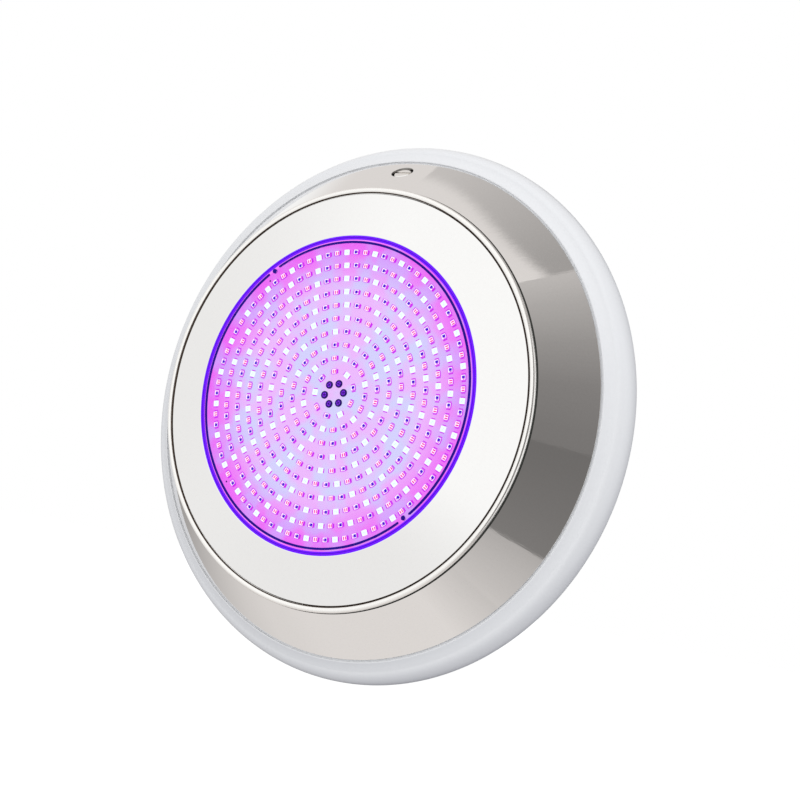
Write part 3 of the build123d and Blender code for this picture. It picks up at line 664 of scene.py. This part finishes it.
def terminals():
    """Six blackened terminal screws with a faint painted violet glow, and the cross recess painted with a
    brighter violet glow of LED light.
    """
    bm = bmesh.new()
    for k in range(6):
        place = on_board(TERMINAL_START + 60 * k, TERMINAL_PCR)
        head = [(TERMINAL_R, 0), (TERMINAL_R, 0.5), (TERMINAL_R - 0.25, 0.85), (1.35, 0.9), (1.25, 0.45)]
        tube(bm, place, head)
        tube(bm, place, [(1.25, 0.3), (1.25, 0.5), (1.1, 0.6)], material=1)
        for turn in (0, 90):
            across = place @ Matrix.Rotation(radians(turn), 4, "Z") @ Matrix.Translation((0, 0, 0.6 * MM))
            bar = [rounded_rectangle(2.0, 0.45, 0.1, 0.0), rounded_rectangle(1.9, 0.4, 0.1, 0.08)]
            stacked(bm, across, bar, [0, 0])
    looks = ("dark_terminal", "terminal_cross_painted_glow")
    piece("terminal_screws", bm, "light", [finishes[look] for look in looks],
          ["board_terminals"])


def board_marks():
    """Alignment dots at the board's edge."""
    bm = bmesh.new()
    for angle in (135.7, 226.7, 315.7):
        tube(bm, on_board(angle, 79.0), [(0.5, 0), (0.5, 0.04), (0.42, 0.06)], sides=16)
    piece("board_dots", bm, "light", [finishes["dark_terminal"]])


# ---- studio --------------------------------------------------------------------------------------------

CAMERA_AIM_M = (0.0419, -0.054, 0.0009)
CAMERA_AZIMUTH, CAMERA_ELEVATION, CAMERA_ROLL = 31.67, -5.68, 10.8
CAMERA_DISTANCE_M = 0.7532
CAMERA_LENS = 67.5
FLOOR_HEIGHT_M = -0.45


def add_camera():
    """From the front right and a little below, tilted so that the lock screw leans to the right."""
    data = bpy.data.cameras.new("camera")
    data.lens = CAMERA_LENS
    data.sensor_width = 36.0
    data.clip_start = 0.01
    camera = bpy.data.objects.new("camera", data)
    turn, lift = radians(CAMERA_AZIMUTH), radians(CAMERA_ELEVATION)
    back = Vector((sin(turn) * cos(lift), -cos(turn) * cos(lift), sin(lift)))
    camera.location = Vector(CAMERA_AIM_M) + back * CAMERA_DISTANCE_M
    look = (-back).to_track_quat("-Z", "Y").to_matrix()
    camera.rotation_euler = (look @ Matrix.Rotation(radians(CAMERA_ROLL), 3, "Z")).to_euler()
    bpy.context.scene.collection.objects.link(camera)
    bpy.context.scene.camera = camera


def add_world():
    """White backdrop for the camera, and a soft sky that is brightest from the upper front."""
    world = bpy.data.worlds.new("studio")
    bpy.context.scene.world = world
    world.use_nodes = True
    nodes, link = world.node_tree.nodes, world.node_tree.links.new
    out = nodes["World Output"]
    place = nodes.new("ShaderNodeTexCoord")
    toward = nodes.new("ShaderNodeVectorMath")
    toward.operation = "DOT_PRODUCT"
    toward.inputs[1].default_value = (0.2, -0.75, 0.6)
    link(place.outputs["Generated"], toward.inputs[0])
    height = nodes.new("ShaderNodeMapRange")
    height.inputs["From Min"].default_value = -1.0
    link(toward.outputs["Value"], height.inputs["Value"])
    sky = nodes.new("ShaderNodeValToRGB")
    sky.color_ramp.elements[0].color = (0.18, 0.19, 0.24, 1)
    sky.color_ramp.elements[1].color = (1.05, 1.05, 1.05, 1)
    link(height.outputs["Result"], sky.inputs["Fac"])
    light = nodes["Background"]
    link(sky.outputs["Color"], light.inputs["Color"])
    backdrop = nodes.new("ShaderNodeBackground")
    backdrop.inputs["Color"].default_value = (1, 1, 1, 1)
    path = nodes.new("ShaderNodeLightPath")
    pick = nodes.new("ShaderNodeMixShader")
    link(path.outputs["Is Camera Ray"], pick.inputs["Fac"])
    link(light.outputs["Background"], pick.inputs[1])
    link(backdrop.outputs["Background"], pick.inputs[2])
    link(pick.outputs["Shader"], out.inputs["Surface"])


def stage_mesh(name, bm, material):
    mesh = bpy.data.meshes.new(name)
    bm.to_mesh(mesh)
    bm.free()
    mesh.materials.append(material)
    made = bpy.data.objects.new(name, mesh)
    bpy.context.scene.collection.objects.link(made)
    return made


def add_floor():
    bm = bmesh.new()
    bmesh.ops.create_grid(bm, x_segments=4, y_segments=4, size=12.0)
    bmesh.ops.translate(bm, verts=bm.verts, vec=(0, 0, FLOOR_HEIGHT_M))
    white = bpy.data.materials.new("floor_white")
    white.use_nodes = True
    shader = white.node_tree.nodes["Principled BSDF"]
    shader.inputs["Base Color"].default_value = (0.2, 0.2, 0.2, 1)
    shader.inputs["Emission Color"].default_value = (1, 1, 1, 1)
    shader.inputs["Emission Strength"].default_value = 0.9
    floor = stage_mesh("floor", bm, white)
    floor.visible_diffuse = False
    floor.visible_glossy = False


# Studio panels that the polished steel mirrors, the last on top: a tint, the planes that bound the panel, as
# (direction, offset, softness) with the inside beyond the offset, then the direction its brightness runs
# along and the brightness at points along it.
NEUTRAL, WARM = (1.0, 0.995, 0.985), (1.0, 0.955, 0.925)
PANELS = (
    ("left_fall_off", NEUTRAL, (((-1, 0, 0), 0.7, 0.6),), (0, 0, 1), ((0, 0.88),)),
    ("lower_front", NEUTRAL, (((0, 0, -1), 0.3, 0.3),), (0, 0, 1), ((0, 0.87),)),
    ("upper_wall", WARM, (((0, 0, 1), 0.5, 0.25), ((0, 1, 0), -0.2, 0.2)), (0, 0, 1), ((0, 0.74),)),
    ("lower_wall", WARM, (((0, 0, -1), 0.5, 0.25), ((0, 1, 0), -0.4, 0.2)), (1, 0, 0),
     ((0.2, 0.76), (0.52, 0.56))),
    ("ceiling", WARM,
     (((1, 0, 0), -0.43, 0.012), ((0, 0, 1), 0.3, 0.1), ((0.381, 0.889, 0.254), 0.311, 0.012)), (1, 0, 0),
     ((-0.4, 0.57), (0.1, 0.45), (0.4, 0.37))),
    ("right_wall", WARM, (((1, 0, 0), 0.47, 0.012),), (0, 0, 1),
     ((-1, 0.76), (-0.83, 0.58), (-0.625, 0.45), (-0.615, 0.21), (-0.43, 0.19), (-0.17, 0.17),
      (-0.025, 0.165), (-0.015, 0.20), (0.1, 0.205), (0.36, 0.235), (0.59, 0.32), (0.78, 0.44), (0.9, 0.56))),
    ("right_window", NEUTRAL, (((1, 0, 0), 0.75, 0.02), ((0, 1, 0), -0.15, 0.05)), (1, 0, 0), ((0, 0.95),)),
    ("left_wall", WARM,
     (((-1, 0, 0), 0.0, 0.2), ((0, 0, -1), -0.12, 0.15), ((0, 1, 0), 0.2, 0.15)), (0, 1, 0),
     ((0.28, 0.72), (0.37, 0.65), (0.45, 0.56), (0.53, 0.46), (0.60, 0.36), (0.66, 0.27), (0.70, 0.20))),
    ("behind", WARM, (((0, 1, 0), 0.77, 0.1),), (0, 1, 0), ((0, 0.03),)),
)


def add_light_tent():
    """A sphere round the light that only reflections see: bright in front, with darker panels."""
    material = bpy.data.materials.new("light_tent")
    material.use_nodes = True
    nodes, link = material.node_tree.nodes, material.node_tree.links.new
    nodes.remove(nodes["Principled BSDF"])
    place = nodes.new("ShaderNodeTexCoord")
    way = nodes.new("ShaderNodeVectorMath")
    way.operation = "NORMALIZE"
    link(place.outputs["Object"], way.inputs[0])

    def distance_along(direction):
        along = nodes.new("ShaderNodeVectorMath")
        along.operation = "DOT_PRODUCT"
        along.inputs[1].default_value = direction
        link(way.outputs["Vector"], along.inputs[0])
        return along.outputs["Value"]

    def beyond(direction, offset, softness):
        step = nodes.new("ShaderNodeMapRange")
        step.interpolation_type = "SMOOTHSTEP"
        step.inputs["From Min"].default_value = offset - softness / 2
        step.inputs["From Max"].default_value = offset + softness / 2
        link(distance_along(direction), step.inputs["Value"])
        return step.outputs["Result"]

    def gradient(direction, stops, tint):
        spot = nodes.new("ShaderNodeMapRange")
        spot.inputs["From Min"].default_value = -1.0
        link(distance_along(direction), spot.inputs["Value"])
        ramp = nodes.new("ShaderNodeValToRGB")
        link(spot.outputs["Result"], ramp.inputs["Fac"])
        elements = ramp.color_ramp.elements
        elements.remove(elements[1])
        for k, (distance, brightness) in enumerate(stops):
            stop = elements.new((distance + 1) / 2) if k else elements[0]
            stop.position = (distance + 1) / 2
            stop.color = (*[brightness * c for c in tint], 1)
        return ramp.outputs["Color"]

    base = nodes.new("ShaderNodeRGB")
    base.outputs["Color"].default_value = (1.02, 1.02, 1.01, 1)
    look = base.outputs["Color"]
    for _, tint, planes, direction, stops in PANELS:
        share = beyond(*planes[0])
        for plane in planes[1:]:
            both = nodes.new("ShaderNodeMath")
            both.operation = "MULTIPLY"
            link(share, both.inputs[0])
            link(beyond(*plane), both.inputs[1])
            share = both.outputs["Value"]
        mix = nodes.new("ShaderNodeMix")
        mix.data_type = "RGBA"
        link(share, mix.inputs["Factor"])
        link(look, mix.inputs["A"])
        link(gradient(direction, stops, tint), mix.inputs["B"])
        look = mix.outputs["Result"]
    glow = nodes.new("ShaderNodeEmission")
    link(look, glow.inputs["Color"])
    link(glow.outputs["Emission"], nodes["Material Output"].inputs["Surface"])
    bm = bmesh.new()
    bmesh.ops.create_icosphere(bm, subdivisions=4, radius=6.0)
    tent = stage_mesh("light_tent", bm, material)
    tent.visible_camera = False
    tent.visible_diffuse = False
    tent.visible_transmission = False
    tent.visible_shadow = False


def add_key_light():
    """A large soft lamp from the upper right, for the white moulding."""
    data = bpy.data.lights.new("key", "AREA")
    data.energy = 6.0
    data.size = 1.2
    lamp = bpy.data.objects.new("key", data)
    lamp.location = (1.2, -1.3, 1.4)
    lamp.rotation_euler = (Vector((0, 0, 0)) - lamp.location).to_track_quat("-Z", "Y").to_euler()
    lamp.visible_glossy = False
    bpy.context.scene.collection.objects.link(lamp)


def add_studio():
    add_world()
    add_floor()
    add_light_tent()
    add_key_light()
    view = bpy.context.scene.view_settings
    view.view_transform = "Standard"
    view.look = "None"


add_camera()
dress_cad_nodes()
trim_skirt()
face_plate()
rear_shell()
window_rim()
led_rings()
terminals()
board_marks()
add_studio()
